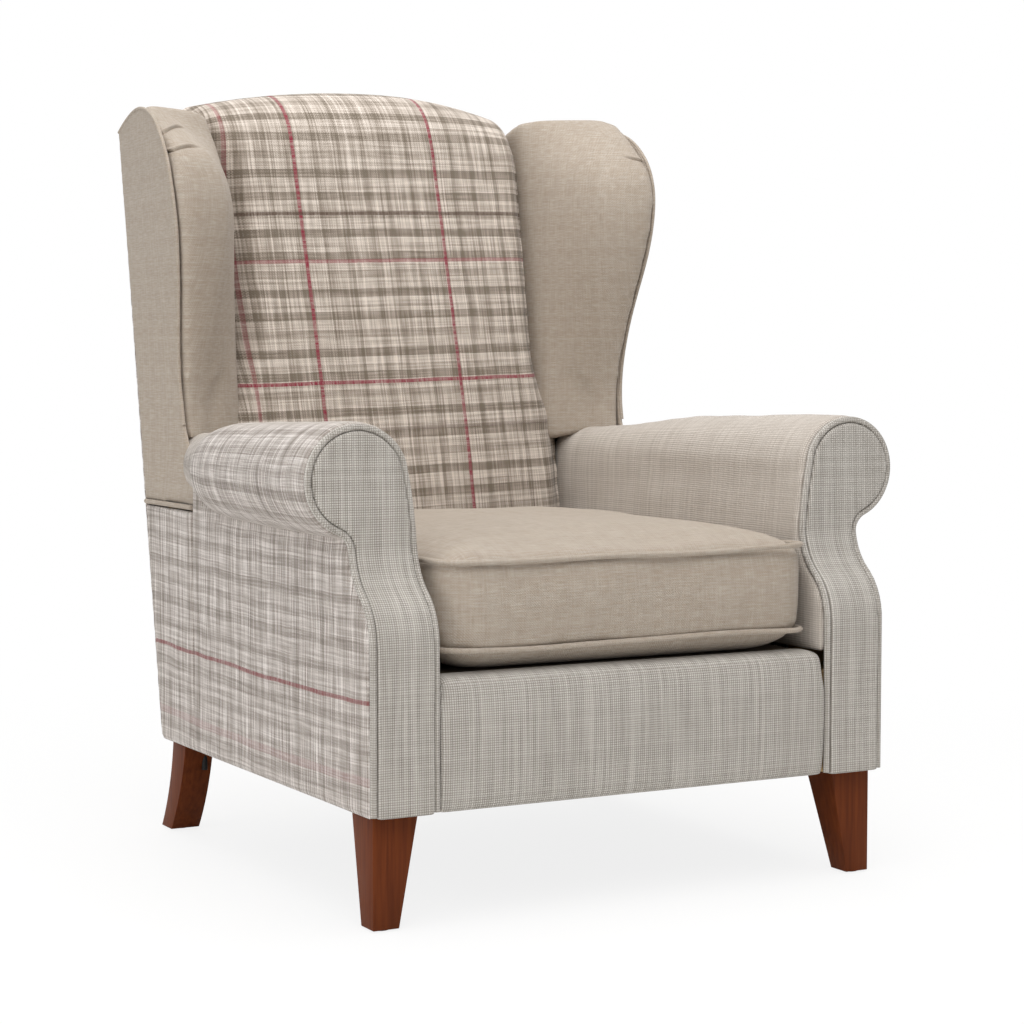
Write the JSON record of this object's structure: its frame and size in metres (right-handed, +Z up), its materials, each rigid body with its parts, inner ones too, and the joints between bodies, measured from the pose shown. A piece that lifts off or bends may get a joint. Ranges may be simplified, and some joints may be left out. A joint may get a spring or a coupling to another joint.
{
  "type": "wing-back fireside armchair",
  "caption": "Upholstered wing-back fireside armchair with scroll arms, a loose box seat cushion that lifts out, and tapered hardwood legs.",
  "frame": {"origin": "on the floor, under the middle of the chair's overall box", "axes": "+Z up, -Y to the front of the chair, X across it"},
  "size_m": [0.8732, 0.8882, 1.098],
  "materials": {
    "frame_timber": "sawn beech",
    "stained_wood": "satin mahogany stain",
    "steel_wire": "plain",
    "webbing": "woven",
    "platform_cloth": "woven",
    "check_cloth": "small check weave",
    "plaid_cloth": "woven plaid",
    "faded_plaid_cloth": "woven plaid",
    "beige_cloth": "plain weave",
    "dust_cloth": "non-woven",
    "glide_nylon": "matte",
    "cushion_foam": "foam",
    "zip_tape": "woven",
    "zip_brass": "satin"
  },
  "bodies": {
    "chair": {"front_rail": "frame_timber", "back_seat_rail": "frame_timber", "corner_blocks": "frame_timber", "crest_rail": "frame_timber", "tacking_rail": "frame_timber", "back_webbing": "webbing", "zigzag_springs": "steel_wire", "spring_clips": "steel_wire", "seat_deck": "platform_cloth", "front_border": "check_cloth", "inside_back": "plaid_cloth", "outside_back": "faded_plaid_cloth", "dust_cover": "dust_cloth", "leg_bolts": "steel_wire", "foot_glides": "glide_nylon", "left_side_rail": "frame_timber", "right_side_rail": "frame_timber", "left_arm_post": "frame_timber", "right_arm_post": "frame_timber", "left_arm_rail": "frame_timber", "right_arm_rail": "frame_timber", "left_back_post": "frame_timber", "right_back_post": "frame_timber", "left_wing_board": "frame_timber", "right_wing_board": "frame_timber", "left_facing": "check_cloth", "right_facing": "check_cloth", "left_facing_piping": "check_cloth", "right_facing_piping": "check_cloth", "left_arm_pad": "check_cloth", "right_arm_pad": "check_cloth", "left_outside_arm": "faded_plaid_cloth", "right_outside_arm": "faded_plaid_cloth", "left_rear_side": "faded_plaid_cloth", "right_rear_side": "faded_plaid_cloth", "left_wing_pad": "beige_cloth", "right_wing_pad": "beige_cloth", "left_outer_wing": "beige_cloth", "right_outer_wing": "beige_cloth", "left_wing_base_piping": "beige_cloth", "right_wing_base_piping": "beige_cloth", "left_front_leg": "stained_wood", "right_front_leg": "stained_wood", "left_back_leg": "stained_wood", "right_back_leg": "stained_wood"},
    "seat_cushion": {"cushion_cover": "beige_cloth", "cushion_core": "cushion_foam", "cushion_top_piping": "beige_cloth", "cushion_bottom_piping": "beige_cloth", "cushion_zip": "zip_tape"},
    "zip_slider": {"zip_slider": "zip_brass"}
  },
  "joints": [
    {"name": "cushion_lift", "type": "slide", "parent": "chair", "child": "seat_cushion", "axis": [0, 0, 1], "range_m": [0, 0.35]},
    {"name": "zip_run", "type": "slide", "parent": "seat_cushion", "child": "zip_slider", "axis": [1, 0, 0], "range_m": [0, 0.426]}
  ]
}
